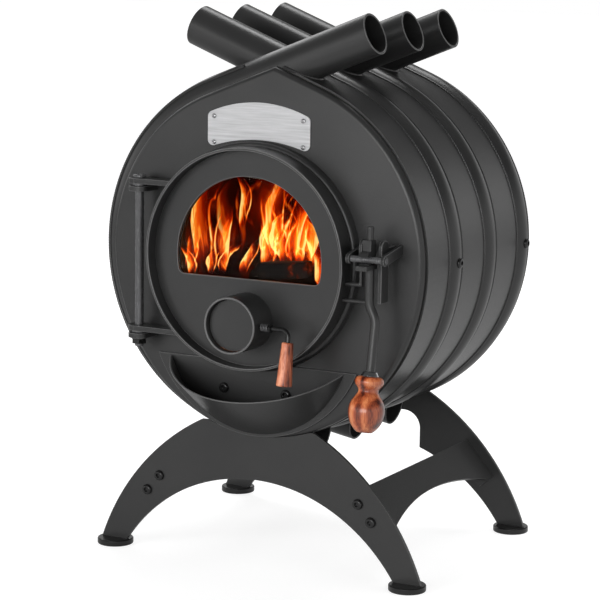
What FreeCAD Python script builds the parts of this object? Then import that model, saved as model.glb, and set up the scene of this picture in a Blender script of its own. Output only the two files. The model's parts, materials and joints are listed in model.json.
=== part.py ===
import FreeCAD, Part
import math
import os

V = FreeCAD.Vector
ORIGIN = V(0, 0, 0)
ACROSS = V(1, 0, 0)
BACK = V(0, 1, 0)
UP = V(0, 0, 1)

# Clearances: welded or bolted neighbours, turning pins, and bodies that pass each other.
# Cutting tools run past the piece they cut by cut_past.
weld_gap = 0.2
run_gap = 0.08
pass_gap = 0.5
cut_past = 1.0

# Round-head bolts, as shares of the shank radius, with a round socket.
head_r = 1.8
head_rise = 1.1
head_round = 0.7
socket_r = 0.76
socket_deep = 0.6

# Six bent air tubes round a drum that lies along Y.
tube_od = 57.0
tube_wall = 3.0
tube_count = 6
tube_gap = 0.4
drum_r = 226.0
drum_rise = 205.0
exit_angle = 21.4
exit_reach = 151.0
tail_angle = 10.0
tail_reach = 81.0
bend_steps = 12

# Sheet strips that close the drum between the tubes, and the pans at its ends.
strip_t = 3.0
strip_over = 22.5
pan_t = 5.0
pan_depth = 10.4
pan_lip = 3.0
pan_round = 7.0
crest_over = 4.0
sole_over = 22.0
sole_left_angle = 190.0
sole_low_angle = 270.0
sole_right_angle = 345.0
outline_steps = 32
hearth_share = 0.88
baffle_share = 0.66

# Door, measured from the drum axis and forward of the front pan.
door_r = 150.0
ring_t = 4.0
ring_reach = 44.0
collar_reach = 14.0
collar_over = 5.0
collar_t = 16.0
collar_round = 4.0
panel_back = 18.0
panel_t = 4.0
glass_inset = 40.0
sill_drop = 27.5
glass_corner = 9.0
glass_t = 4.0
seal_t = 2.0
seal_inset = 1.0
glass_lap = 9.0
retainer_t = 3.0
retainer_lap = 7.0
retainer_inset = 2.0
screw_r = 1.6
screw_count = 5
screw_first = 10.0
rope_w = 7.6

# Hinge: one rod through two ears on the pan and two on the door.
hinge_out = 22.0
hinge_reach = 24.0
hinge_r = 6.0
ear_r = 15.0
ear_t = 7.0
ear_high = 94.5
ear_low = 108.5
ear_gap = 4.0
ear_set = 4.0
ear_back = 6.0
rod_tail = 12.0
rod_head_r = 9.0
rod_head_t = 4.0
washer_r = 10.0
nut_w = 18.6
nut_h = 8.0
plate_washer_t = 1.6

# Air damper on the door.
spigot_r = 38.5
spigot_wall = 3.0
spigot_drop = 84.0
spigot_reach = 30.5
flap_t = 3.0
flap_back = 13.5
shaft_r = 3.0
shaft_out = 43.5
shaft_bend = 10.0
arm_tilt = 9.0
grip_top_r = 7.6
grip_end_r = 10.6
grip_len = 58.0
grip_start = 16.0
grip_round = 2.0
stem_share = 0.4
shaft_past = 1.5
spring_wire = 1.8
spring_turns = 5
spring_len = 15.0

# Latch: two arms on the pan hold a pin, and the lever's hook hangs on it from behind.
latch_out = 38.5
latch_rise = 17.0
latch_reach = 50.0
pin_r = 4.4
pin_past = 1.5
arm_span = 45.0
arm_t = 5.0
arm_h = 14.0
arm_slope = 10.0
hook_w = 12.0
hook_r = 11.0
crown_rise = 25.0
lip_w = 16.0
lip_reach = 16.0
lip_low = 13.0
lip_high = 7.0
lever_back = 10.0
stub_r = 4.3
stub_len = 42.0
bar_r = 6.0
bar_drop = 60.0
bar_bend = 30.0
joggle_out = 9.5
joggle_drop = 20.0
bar_tilt = 8.5
bar_lean = 1.0
bar_tail = 66.0
tang_r = 3.6
tang_share = 0.4
knob_len = 73.0
knob_r = 24.0
ferrule_len = 6.0
ferrule_top_r = 9.0
ferrule_end_r = 12.0
cheek_side = 12.0
cheek_t = 4.7
cheek_reach = 40.0
cheek_depth = 21.0
cheek_top = 23.0
cheek_drop = 58.0
cheek_round = 8.0
stem_low = 2.0
stem_high = 14.0
catch_r = 2.8
catch_out = 21.0
catch_high = 20.0
catch_low = 42.0

# The turned handle's outline, as shares of its length and of its radius.
knob_shape = [(0.0, 0.5), (0.05, 0.76), (0.12, 0.79), (0.24, 0.56)]
knob_shape += [(0.42, 0.82), (0.62, 1.0), (0.84, 0.84), (1.0, 0.42)]

# Ember scoop, nameplate and flue.
scoop_r = 142.0
scoop_edge = 2.0
scoop_lip = 41.0
scoop_reach = 84.0
scoop_fall = 40.0
scoop_t = 3.0
scoop_bolt_x = 48.0
scoop_bolt_drop = 39.0
flange_inset = 1.8
flange_lap = 1.0
name_half = 78.0
name_gap = 2.0
name_drop = 17.0
name_height = 50.0
name_arch = 14.0
name_t = 1.6
name_corner = 8.0
rivet_r = 1.8
rivet_in = 10.0
rivet_top = 4.0
rivet_low = 8.0
flue_r = 60.0
flue_wall = 2.0
flue_rise = 95.0
flue_reach = 65.0

# Stand.
arch_t = 5.0
arch_set = 4.0
arch_tip = 20.5
arch_bulge = 23.5
arch_rise = 121.0
foot_x = 230.0
foot_r = 25.5
foot_t = 8.5
foot_edge = 1.0
arch_lap = 2.0
leg_w = 41.0
notch_half = 81.0
notch_top = 162.0
notch_r = 26.0
stay_w = 66.0
stay_t = 4.0
stay_inset = 17.0
stay_drop = 6.0
stay_flange = 22.0
stay_arch = 24.0
stay_bolt = 15.0
stay_bolt_rise = 4.0
bolt_r = 4.0
nut_share = 3.2
nut_rise = 1.5

drum_z = drum_rise + drum_r
pitch = tube_od + tube_gap
tube_r = tube_od / 2
drum_len = 2 * (pan_depth + weld_gap) + tube_od + (tube_count - 1) * pitch
face_y = (scoop_reach + weld_gap - drum_len - flue_reach) / 2
mid_y = face_y + drum_len / 2
exit_t = math.radians(exit_angle)
tail_t = math.radians(tail_angle)
left_r = drum_r + crest_over
right_r = drum_r + strip_over - strip_t - weld_gap
sole_r = drum_r + sole_over
inner_r = door_r - ring_t
collar_r = door_r + collar_over
glass_r = door_r - glass_inset
ring_y = face_y - ring_reach
ring_end = face_y - collar_reach - pass_gap
panel_y = ring_y + panel_back
hinge_x = -(door_r + hinge_out)
hinge_y = face_y - hinge_reach
spigot_z = drum_z - spigot_drop
spigot_y = ring_y - spigot_reach
flap_y = spigot_y + flap_back
latch_x = door_r + latch_out
catch_x = door_r + catch_out
pin_y = face_y - latch_reach
pin_z = drum_z + latch_rise
lever_y = pin_y + lever_back


def save(name, *solids):
    shape = solids[0] if len(solids) == 1 else Part.makeCompound(list(solids))
    shape.exportStep("parts/" + name + ".step")


def polar(radius, degrees, y=0.0):
    angle = math.radians(degrees)
    return V(radius * math.cos(angle), y, drum_z + radius * math.sin(angle))


def line(a, b):
    return Part.makeLine(a, b)


def arc(a, b, c):
    return Part.Arc(a, b, c).toShape()


def slab(edges, y, depth):
    face = Part.Face(Part.Wire(edges))
    face.translate(V(0, y, 0))
    return face.extrude(V(0, depth, 0))


def block(x0, x1, y0, y1, z0, z1):
    return Part.makeBox(x1 - x0, y1 - y0, z1 - z0, V(x0, y0, z0))


def disc(radius, x, z, y, depth):
    return Part.makeCylinder(radius, depth, V(x, y, z), BACK)


def drill(radius, x, z, y, depth):
    return disc(radius, x, z, y - cut_past, depth + 2 * cut_past)


def rod_x(radius, x0, x1, y, z):
    return Part.makeCylinder(radius, x1 - x0, V(x0, y, z), ACROSS)


def rod_z(radius, x, y, z0, z1):
    return Part.makeCylinder(radius, z1 - z0, V(x, y, z0), UP)


def band(outer, inner, z, y, depth):
    return disc(outer, 0, z, y, depth).cut(drill(inner, 0, z, y, depth))


def largest(shape):
    return max(shape.Solids, key=lambda solid: solid.Volume)


def mirrored(shape):
    return shape.mirror(ORIGIN, ACROSS)


def turned_back(shape):
    copy = shape.copy()
    copy.rotate(V(0, mid_y, 0), UP, 180)
    return copy


def smooth(t):
    return t * t * (3 - 2 * t)


def button(radius, x, z, y, depth):
    """A round-head bolt with its head forward of y and its shank reaching back by depth."""
    rise = radius * head_rise
    cap = disc(radius * head_r, x, z, y - rise, rise)
    rim = [e for e in cap.Edges if abs(e.CenterOfMass.y - (y - rise)) < 1e-6]
    cap = cap.makeFillet(rise * head_round, rim)
    cap = cap.cut(disc(radius * socket_r, x, z, y - rise, rise * socket_deep))
    return cap.fuse(disc(radius, x, z, y, depth)).removeSplitter()


def hexagon(across, x, z, y, depth):
    face = Part.makePolygon(
        [V(x, y, z) + polar_flat(across / math.sqrt(3), 60 * i) for i in range(7)]
    )
    return Part.Face(face).extrude(V(0, depth, 0))


def polar_flat(radius, degrees):
    angle = math.radians(degrees)
    return V(radius * math.cos(angle), 0, radius * math.sin(angle))


def pan_radius(degrees):
    """Pan outline: tube crest on the left, round sole below, strip surface on the right."""
    if degrees < sole_low_angle:
        side_r, side_angle = left_r, sole_left_angle
    else:
        side_r, side_angle = right_r, sole_right_angle
    share = (degrees - side_angle) / (sole_low_angle - side_angle)
    return side_r + (sole_r - side_r) * smooth(max(share, 0))


def pan_outline(grow=0.0):
    first = 90 + exit_angle
    sweep = 360 - 2 * exit_angle
    points = []
    for i in range(outline_steps + 1):
        degrees = first + sweep * i / outline_steps
        points.append(polar(pan_radius(degrees) + grow, degrees))
    curve = Part.BSplineCurve()
    curve.interpolate(points)
    spread = (right_r - left_r) / (2 * math.sin(exit_t))
    height = (left_r + right_r + 2 * grow) / (2 * math.cos(exit_t))
    apex = V(spread, 0, drum_z + height)
    return [curve.toShape(), line(points[-1], apex), line(apex, points[0])]


def pan():
    shell = slab(pan_outline(), face_y, pan_depth)
    rim = [e for e in shell.Edges if e.BoundBox.YMax < face_y + 1e-6]
    shell = shell.makeFillet(pan_round, rim)
    return shell.cut(slab(pan_outline(-pan_lip), face_y + pan_t, pan_depth))


def tube_path():
    """Stations of the left-hand tube, from its tail, up round the drum, to its outlet."""
    first = sole_low_angle - tail_angle
    last = 90 + exit_angle
    tail_len = (tail_reach - drum_r * math.cos(math.radians(first))) / math.cos(tail_t)
    exit_len = (exit_reach - drum_r * math.cos(math.radians(last))) / math.cos(exit_t)
    stations = []
    for i in range(bend_steps + 1):
        degrees = first + (last - first) * i / bend_steps
        angle = math.radians(degrees)
        stations.append((polar(drum_r, degrees), V(math.sin(angle), 0, -math.cos(angle))))
    tail, start = stations[0]
    outlet, end = stations[-1]
    return [(tail - start * tail_len, start)] + stations + [(outlet + end * exit_len, end)]


def tube_solid(radius, past=0.0):
    path = tube_path()
    path[0] = (path[0][0] - path[0][1] * past, path[0][1])
    path[-1] = (path[-1][0] + path[-1][1] * past, path[-1][1])
    rings = []
    for point, along in path:
        ring = Part.Wire(Part.makeCircle(radius))
        ring.rotate(ORIGIN, UP, 90)
        ring.rotate(ORIGIN, BACK, math.degrees(math.atan2(along.x, along.z)))
        ring.translate(point)
        rings.append(ring)
    return Part.makeLoft(rings, True, True)


def tube_y(k):
    return face_y + pan_depth + weld_gap + tube_r + (k - 1) * pitch


def at_tube(shape, k):
    """Odd tubes wrap the left side, even ones the right."""
    copy = shape.copy() if k % 2 else mirrored(shape)
    copy.translate(V(0, tube_y(k), 0))
    return copy


def strip_edges(radius):
    """Right-hand path of a strip, from under the upper crossing round to the axis of the tail."""
    meet = -tail_angle - math.degrees(math.asin(drum_r / (drum_r + strip_over)))
    high = polar(radius, 90 - exit_angle)
    side = polar(radius, (90 - exit_angle + meet) / 2)
    low = polar(radius, meet)
    top_x = strip_over / (2 * math.sin(exit_t))
    top = V(top_x, 0, drum_z + radius / math.cos(exit_t) - top_x * math.tan(exit_t))
    return top, high, side, low


def strip(k):
    """A sheet between two tubes, notched for the one that crosses it and for the way to its mouth."""
    outer = strip_edges(drum_r + strip_over)
    inner = strip_edges(drum_r + strip_over - strip_t)
    edges = [line(outer[0], outer[1]), arc(*outer[1:]), line(outer[3], inner[3])]
    edges += [arc(*inner[:0:-1]), line(inner[1], inner[0]), line(inner[0], outer[0])]
    reach = tube_r + weld_gap
    tube_half = math.sqrt(reach ** 2 - (strip_over - strip_t) ** 2)
    near = tube_y(k) - pitch + tube_half
    far = tube_y(k) + pitch - tube_half
    near = max(near, face_y + pan_depth + weld_gap)
    far = min(far, face_y + drum_len - pan_depth - weld_gap)
    sheet = slab(edges, 0, far - near)
    sheet = sheet if k % 2 else mirrored(sheet)
    sheet.translate(V(0, near, 0))
    return largest(sheet.cut(at_tube(tube_solid(reach, tube_od), k)))


def drum():
    front = pan()
    save("front_pan", front.cut(drill(collar_r + weld_gap, 0, drum_z, face_y, pan_depth)))
    collar = band(collar_r, collar_r - collar_t, drum_z, face_y - collar_reach, collar_reach + pan_t)
    rim = [e for e in collar.Edges if e.BoundBox.YMax < face_y and e.BoundBox.XMax > collar_r - 1]
    save("door_collar", collar.makeFillet(collar_round, rim))
    flue_z = drum_z + flue_rise
    rear_y = face_y + drum_len
    rear = turned_back(pan())
    flue_in = flue_r - flue_wall
    save("rear_pan", rear.cut(drill(flue_in, 0, flue_z, rear_y - pan_depth, pan_depth)))
    save("flue_spigot", band(flue_r, flue_in, flue_z, rear_y + weld_gap, flue_reach - weld_gap))
    tube = tube_solid(tube_r).cut(tube_solid(tube_r - tube_wall, cut_past))
    for k in range(1, tube_count + 1):
        save("air_tube_%d" % k, at_tube(tube, k))
        save("shell_strip_%d" % k, strip(k))
    first = face_y + pan_depth + weld_gap
    last = rear_y - pan_depth - weld_gap
    save("hearth_plate", shelf(-hearth_share, first, last))
    save("smoke_baffle", shelf(baffle_share, mid_y - tube_od, last))
    save("crest_bolts", *[crest_bolt(k) for k in (1, 2, tube_count - 1, tube_count)])


def shelf(level, start, end):
    """A flat plate that rests across the tubes, at a share of the firebox's radius."""
    step = (180 - tail_angle - exit_angle) / bend_steps
    inside = (drum_r - tube_r) * math.cos(math.radians(step / 2)) - weld_gap
    half = inside * math.sqrt(1 - level ** 2)
    far = drum_z + inside * level
    near = far - math.copysign(strip_t, level)
    return block(-half, half, start, end, min(near, far), max(near, far))


def crest_bolt(k):
    """A bolt at the height of the drum axis, square to the facet of the bend under it."""
    first = sole_low_angle - tail_angle
    step = (180 - tail_angle - exit_angle) / bend_steps
    facet = first - step * (math.floor((first - 180) / step) + 0.5)
    seat = (drum_r + tube_r) * math.cos(math.radians(step / 2)) + weld_gap
    bolt = button(bolt_r, 0, 0, 0, weld_gap / 2)
    bolt.rotate(ORIGIN, UP, -90)
    bolt.rotate(ORIGIN, BACK, 180 - facet)
    bolt.translate(V(seat / math.cos(math.radians(facet)), 0, drum_z))
    return at_tube(bolt, k)


def d_shape(grow, y, depth):
    """The window outline: a circle round the drum axis with a flat sill."""
    sill = drum_z - sill_drop - grow
    radius = glass_r + grow
    below = block(-radius, radius, y, y + depth, drum_z - radius - cut_past, sill)
    shape = disc(radius, 0, drum_z, y, depth).cut(below)
    upright = [e for e in shape.Edges if e.BoundBox.ZLength < 1e-3 and e.BoundBox.XLength < 1e-3]
    corners = [e for e in upright if abs(e.CenterOfMass.z - sill) < 1e-3]
    return shape.makeFillet(glass_corner + grow, corners)


def d_frame(outer, inner, y, depth):
    return d_shape(outer, y, depth).cut(d_shape(inner, y - cut_past, depth + 2 * cut_past))


def door():
    save("door_ring", band(door_r, inner_r, drum_z, ring_y, ring_end - ring_y))
    panel = disc(inner_r - weld_gap, 0, drum_z, panel_y, panel_t)
    panel = panel.cut(d_shape(0, panel_y - cut_past, panel_t + 2 * cut_past))
    save("door_panel", panel.cut(drill(spigot_r - spigot_wall, 0, spigot_z, panel_y, panel_t)))
    behind = panel_y + panel_t + weld_gap
    rope_r = inner_r - weld_gap
    save("door_rope", band(rope_r, rope_r - rope_w, drum_z, behind, ring_end - behind))
    save("glass_seal", d_frame(glass_lap, seal_inset, behind, seal_t))
    glass_y = behind + seal_t + weld_gap
    save("window_glass", d_shape(glass_lap, glass_y, glass_t))
    retainer_y = glass_y + glass_t + weld_gap
    save("glass_retainer", d_frame(glass_lap + retainer_lap, retainer_inset, retainer_y, retainer_t))
    screws = []
    for i in range(screw_count):
        degrees = screw_first + (180 - 2 * screw_first) * i / (screw_count - 1)
        at = polar(glass_r + glass_lap + retainer_lap / 2, degrees)
        screw = button(screw_r, 0, 0, 0, weld_gap / 2)
        screw.rotate(ORIGIN, UP, 180)
        screw.translate(V(at.x, retainer_y + retainer_t + weld_gap, at.z))
        screws.append(screw)
    save("retainer_screws", *screws)
    save("door_ears", *[door_ear(drum_z + level - ear_t / 2) for level in (ear_high, -ear_low)])
    catches()


def door_ear(z):
    eye = rod_z(ear_r, hinge_x, hinge_y, z, z + ear_t)
    bar = block(hinge_x, 0, ring_y + ear_set, hinge_y + ear_back, z, z + ear_t)
    ear = eye.fuse(bar).cut(disc(door_r + weld_gap, 0, drum_z, ring_y, ring_reach))
    hole = rod_z(hinge_r + run_gap, hinge_x, hinge_y, z - cut_past, z + ear_t + cut_past)
    return largest(ear).removeSplitter().cut(hole)


def catches():
    """Two round catches on the door ring that stop short of the lever, one of them turned up."""
    y = (ring_y + ring_end) / 2
    rods = []
    for level, end_x in ((-catch_high, catch_x), (-catch_low, latch_x - bar_r - 4 * pass_gap)):
        z = drum_z + level
        rod = rod_x(catch_r, 0, end_x, y, z)
        if level == -catch_high:
            rod = rod.fuse(Part.makeSphere(catch_r, V(end_x, y, z)))
            rod = rod.fuse(rod_z(catch_r, end_x, y, z, pin_z - hook_r - 2 * pass_gap))
        rod = rod.cut(disc(door_r + weld_gap, 0, drum_z, ring_y, ring_reach))
        rods.append(largest(rod).removeSplitter())
    save("door_catches", *rods)


def hinge():
    ears = []
    washers = []
    levels = [drum_z + level - ear_t * 1.5 - ear_gap for level in (ear_high, -ear_low)]
    for z in levels:
        top = z + ear_t
        eye = rod_z(ear_r, hinge_x, hinge_y, z, top)
        root = block(hinge_x - ear_r, hinge_x + ear_r, hinge_y, face_y - weld_gap, z, top)
        hole = rod_z(hinge_r + weld_gap, hinge_x, hinge_y, z - cut_past, top + ear_gap)
        ears.append(eye.fuse(root).removeSplitter().cut(hole))
        washer = rod_z(washer_r, hinge_x, hinge_y, top + pass_gap, top + ear_gap - pass_gap)
        washers.append(washer.cut(hole))
    save("hinge_ears", *ears)
    save("hinge_washers", *washers)
    top = levels[0] + 2 * ear_t + ear_gap + pass_gap
    low = levels[1]
    rod = rod_z(hinge_r, hinge_x, hinge_y, low - rod_tail, top)
    head = rod_z(rod_head_r, hinge_x, hinge_y, top, top + rod_head_t)
    crown = [e for e in head.Edges if e.BoundBox.ZMin > top + rod_head_t / 2]
    save("hinge_rod", rod.fuse(head.makeFillet(rod_head_t / 2, crown)).removeSplitter())
    low -= weld_gap
    nut = hexagon(nut_w, 0, 0, 0, nut_h)
    nut.rotate(ORIGIN, ACROSS, 90)
    nut.translate(V(hinge_x, hinge_y, low - nut_h))
    plate = rod_z(ear_r - ear_set, hinge_x, hinge_y, low - plate_washer_t, low)
    bore = rod_z(hinge_r + weld_gap, hinge_x, hinge_y, low - 2 * nut_h, low + cut_past)
    save("hinge_nut", nut.fuse(plate).removeSplitter().cut(bore))


def biarc(p0, t0, p1, t1):
    """Two circular arcs that leave p0 along t0 and reach p1 along t1."""
    v = p1 - p0
    t = t0 + t1
    a = 2 * (1 - t0.dot(t1))
    b = 2 * v.dot(t)
    d = (-b + math.sqrt(b * b + 4 * a * v.dot(v))) / (2 * a)
    q0 = p0 + t0 * d
    q1 = p1 - t1 * d
    joint = (q0 + q1) * 0.5
    arcs = []
    for start, corner, end in ((p0, q0, joint), (joint, q1, p1)):
        cosine = (corner - start).normalize().dot((end - corner).normalize())
        w = math.sqrt((1 + cosine) / 2)
        arcs.append(arc(start, (start + corner * (2 * w) + end) * (1 / (2 + 2 * w)), end))
    return arcs


def spring(x0, y, z):
    """Coil round the damper shaft, one unbroken tube with straight ends."""
    wire_r = spring_wire / 2
    coil_r = shaft_r + wire_r + pass_gap
    turn = 2 * math.pi
    lead = (spring_len - 2 * spring_wire) / spring_turns
    start = x0 + spring_wire

    def point(t):
        return V(start + lead * t / turn, y + coil_r * math.cos(t), z + coil_r * math.sin(t))

    def tangent(t):
        return V(lead / turn, -coil_r * math.sin(t), coil_r * math.cos(t)).normalize()

    steps = 4 * spring_turns
    quarter = turn / 4
    edges = [line(point(0) - tangent(0) * spring_wire, point(0))]
    for i in range(steps):
        here, there = i * quarter, (i + 1) * quarter
        edges += biarc(point(here), tangent(here), point(there), tangent(there))
    last = steps * quarter
    edges.append(line(point(last), point(last) + tangent(last) * spring_wire))
    profile = Part.Wire(Part.makeCircle(wire_r, edges[0].Vertexes[0].Point, tangent(0)))
    fine = 48 * spring_turns
    samples = [point(last * i / fine) for i in range(fine + 1)]
    pairs = [(a, b) for a in range(fine + 1) for b in range(a + 24, fine + 1)]
    least = min((samples[a] - samples[b]).Length for a, b in pairs) - spring_wire
    print("spring: least gap to itself %.2f mm" % least)
    return Part.Wire(edges).makePipeShell([profile], True, False)


def damper():
    bore_r = spigot_r - spigot_wall
    tube = band(spigot_r, bore_r, spigot_z, spigot_y, panel_y - weld_gap - spigot_y)
    save("air_spigot", tube.cut(rod_x(shaft_r + run_gap, -2 * spigot_r, 2 * spigot_r, flap_y, spigot_z)))
    flap_from = flap_y - shaft_r - weld_gap - flap_t
    save("damper_flap", disc(bore_r - 2 * pass_gap, 0, spigot_z, flap_from, flap_t))
    spring_x = spigot_r + pass_gap
    spring_end = spring_x + spring_len
    arm_x = spigot_r + shaft_out
    bend_x = arm_x - shaft_bend
    stem_end = grip_start + grip_len * stem_share
    rod = rod_x(shaft_r, -bore_r - shaft_past, bend_x, 0, 0)
    ring = Part.Face(Part.Wire(Part.makeCircle(shaft_r, V(bend_x, 0, 0), ACROSS)))
    rod = rod.fuse(ring.revolve(V(bend_x, 0, -shaft_bend), BACK, 90))
    rod = rod.fuse(rod_z(shaft_r, arm_x, 0, -stem_end, -shaft_bend)).removeSplitter()
    grip = Part.makeCone(grip_top_r, grip_end_r, grip_len, V(arm_x, 0, -grip_start), V(0, 0, -1))
    grip = grip.makeFillet(grip_round, [e for e in grip.Edges if e.BoundBox.ZLength < 1e-3])
    grip = grip.cut(rod_z(shaft_r + weld_gap, arm_x, 0, -stem_end - weld_gap, -grip_start + cut_past))
    washer = rod_x(2 * shaft_r, spring_end + pass_gap, spring_end + pass_gap + plate_washer_t, 0, 0)
    washer = washer.cut(rod_x(shaft_r + weld_gap, spring_x, arm_x, 0, 0))
    for name, shape in (("damper_shaft", rod), ("damper_grip", grip), ("damper_washer", washer)):
        shape.rotate(ORIGIN, ACROSS, -arm_tilt)
        shape.translate(V(0, flap_y, spigot_z))
        save(name, shape)
    save("damper_spring", spring(spring_x + pass_gap / 2, flap_y, spigot_z))


def knob():
    """Turned pear handle that hangs down from the origin."""
    points = [V(knob_r * wide, 0, -knob_len * deep) for deep, wide in knob_shape]
    curve = Part.BSplineCurve()
    curve.interpolate(points)
    low = V(0, 0, -knob_len)
    edges = [line(ORIGIN, points[0]), curve.toShape(), line(points[-1], low), line(low, ORIGIN)]
    solid = Part.Face(Part.Wire(edges)).revolve(ORIGIN, UP, 360)
    depth = knob_len * tang_share + weld_gap
    return solid.cut(rod_z(tang_r + weld_gap, 0, 0, -depth, cut_past))


def rod_between(a, b, radius):
    return Part.makeCylinder(radius, (b - a).Length, a, b - a)


def bent_rod(points, bend, radius):
    """A round rod through the points, with its corners bent to one radius."""
    edges = []
    start = points[0]
    for before, corner, after in zip(points, points[1:], points[2:]):
        back = (before - corner).normalize()
        ahead = (after - corner).normalize()
        half = back.getAngle(ahead) / 2
        enter, leave = [corner + way * (bend / math.tan(half)) for way in (back, ahead)]
        crown = corner + (back + ahead).normalize() * (bend / math.sin(half) - bend)
        edges += [line(start, enter), arc(enter, crown, leave)]
        start = leave
    edges.append(line(start, points[-1]))
    profile = Part.Wire(Part.makeCircle(radius, points[0], points[1] - points[0]))
    return Part.Wire(edges).makePipeShell([profile], True, False)


def latch():
    arm_from = latch_x - arm_span / 2
    save("latch_arms", latch_arm(arm_from - arm_t), latch_arm(arm_from + arm_span))
    pin_from = arm_from - arm_t - pin_past
    pin_to = arm_from + arm_span + arm_t + pin_past
    save("latch_pin", rod_x(pin_r, pin_from, pin_to, pin_y, pin_z))
    left = cheek(latch_x - cheek_side - cheek_t, 0)
    save("latch_bracket", left, cheek(latch_x + cheek_side, cheek_drop))
    save("latch_hook", latch_hook())
    lever()


def latch_arm(x):
    low, high = pin_z - arm_h / 2, pin_z + arm_h / 2
    bar = block(x, x + arm_t, pin_y, pin_y + 2 * latch_reach, low, high)
    arm = rod_x(arm_h / 2, x, x + arm_t, pin_y, pin_z).fuse(bar).removeSplitter()
    arm.rotate(V(0, pin_y, pin_z), ACROSS, arm_slope)
    behind = face_y - weld_gap
    arm = arm.cut(block(x, x + arm_t, behind, behind + 2 * latch_reach, drum_z, 2 * drum_z))
    return arm.cut(rod_x(pin_r + weld_gap, x - cut_past, x + arm_t + cut_past, pin_y, pin_z))


def cheek(x, drop):
    """A guide plate beside the lever, on a stem from the pan."""
    front = face_y - cheek_reach
    plate = block(x, x + cheek_t, front, front + cheek_depth, pin_z - drop, pin_z + cheek_top)
    corners = [e for e in plate.Edges if e.BoundBox.ZMin > pin_z + cheek_top - 1e-3]
    corners = [e for e in corners if e.BoundBox.YLength < 1e-3]
    plate = plate.makeFillet(cheek_round, corners)
    middle, end = front + cheek_depth / 2, face_y - weld_gap
    stem = block(x, x + cheek_t, middle, end, pin_z + stem_low, pin_z + stem_high)
    return plate.fuse(stem).removeSplitter()


def latch_hook():
    """Open hook: it bears on the pin from above, behind and below, and leaves the front clear."""
    x0, x1 = latch_x - hook_w / 2, latch_x + hook_w / 2
    hub = rod_x(hook_r, x0, x1, pin_y, pin_z)
    back = lever_y + stub_r
    crown = block(x0, x1, pin_y, back, pin_z - hook_r, pin_z + crown_rise)
    stub = rod_z(stub_r, latch_x, lever_y, pin_z, pin_z + stub_len)
    lip_x = latch_x - lip_w / 2
    lip = block(lip_x, lip_x + lip_w, pin_y - lip_reach, back, pin_z - lip_low, pin_z - lip_high)
    hook = hub.fuse([crown, stub, lip]).removeSplitter()
    reach = pin_r + run_gap
    hook = hook.cut(rod_x(reach, lip_x - cut_past, lip_x + lip_w + cut_past, pin_y, pin_z))
    mouth = block(lip_x, lip_x + lip_w, pin_y - 2 * hook_r, pin_y, pin_z - reach, pin_z + reach)
    return hook.cut(mouth)


def lever():
    """Bar with a joggle, then a straight tail that leans forward to the turned handle."""
    top = V(latch_x, lever_y, pin_z - lip_low - weld_gap)
    knee = V(latch_x, lever_y, pin_z - bar_drop)
    ankle = knee + V(joggle_out, 0, -joggle_drop)
    lean, tilt = math.tan(math.radians(bar_lean)), math.tan(math.radians(bar_tilt))
    along = V(-lean, -tilt, -1).normalize()
    tail = ankle + along * bar_tail
    tang = tail + along * (ferrule_len + knob_len * tang_share)
    bar = bent_rod([top, knee, ankle, tail], bar_bend, bar_r)
    save("latch_bar", bar.fuse(rod_between(tail, tang, tang_r)).removeSplitter())
    down = FreeCAD.Rotation(V(0, 0, -1), along)
    ferrule = Part.makeCone(ferrule_end_r, ferrule_top_r, ferrule_len - weld_gap, V(0, 0, -ferrule_len))
    ferrule = ferrule.cut(rod_z(tang_r + weld_gap, 0, 0, -2 * ferrule_len, ferrule_len))
    pieces = (("lever_ferrule", ferrule, weld_gap), ("lever_knob", knob(), ferrule_len + 2 * weld_gap))
    for name, shape, step in pieces:
        shape.Placement = FreeCAD.Placement(tail + along * step, down)
        save(name, shape)


def oblique(radius, centre, y, climb, skip):
    """A round bar along climb, whose axis passes y at the height centre."""
    face = Part.Face(Part.Wire(Part.makeCircle(radius, V(0, y, centre), BACK)))
    face.translate(climb * skip)
    return face.extrude(climb * scoop_r)


def scoop():
    """Sheet scoop under the door: an oblique arc trimmed by a plane that falls to the front."""
    centre = drum_z - sole_r + scoop_edge + scoop_r
    back_y = face_y - weld_gap
    rim_z = centre - scoop_lip
    low = centre - scoop_r - flange_lap
    half = collar_r - flange_inset
    left, right = V(-half, 0, rim_z), V(half, 0, rim_z)
    plate_y = back_y - scoop_t
    plate = slab([arc(left, V(0, 0, low), right), line(right, left)], plate_y, scoop_t)
    plate = plate.cut(drill(collar_r + weld_gap, 0, drum_z, plate_y, scoop_t))
    spots = [(side * scoop_bolt_x, rim_z - scoop_bolt_drop) for side in (-1, 1)]
    plate = plate.cut([drill(bolt_r + weld_gap, x, z, plate_y, scoop_t) for x, z in spots])
    save("scoop_back", plate)
    save("scoop_bolts", *[button(bolt_r, x, z, plate_y - weld_gap, scoop_t) for x, z in spots])
    climb = V(0, -1, (scoop_r - scoop_lip - scoop_fall) / scoop_reach)
    sheet = oblique(scoop_r, centre, back_y, climb, scoop_t + weld_gap)
    sheet = sheet.cut(oblique(scoop_r - scoop_t, centre, back_y, climb, 0))
    keep = block(-2 * scoop_r, 2 * scoop_r, -3 * scoop_r, scoop_r, -3 * scoop_r, 0)
    keep.rotate(ORIGIN, ACROSS, math.degrees(math.atan2(scoop_fall, scoop_reach)))
    keep.translate(V(0, back_y, rim_z))
    save("ember_scoop", largest(sheet.common(keep)))


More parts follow.
